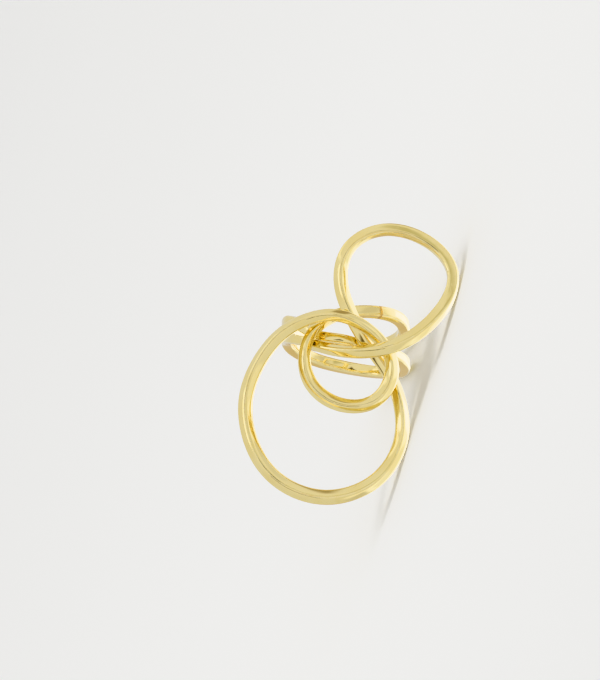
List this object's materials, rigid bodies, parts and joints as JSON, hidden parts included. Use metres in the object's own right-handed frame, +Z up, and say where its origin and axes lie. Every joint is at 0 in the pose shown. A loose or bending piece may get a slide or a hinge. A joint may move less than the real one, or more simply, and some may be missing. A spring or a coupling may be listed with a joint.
{
  "type": "ribbon ring",
  "caption": "Gold-coloured finger ring made of one endless squared metal ribbon that runs round the finger and loops freely over it.",
  "frame": {"origin": "middle of the ring's bounding box, on the table that it lies on", "axes": "+Z up from the table; +X along the finger hole toward the upper loop, the hole's axis rising 13.9 degrees from it; -Y is the side that the loops face"},
  "size_m": [0.0474, 0.0308, 0.0269],
  "materials": {
    "gold": "high polish, light yellow gold plating"
  },
  "bodies": {
    "root": {"ribbon": "gold"}
  },
  "joints": []
}
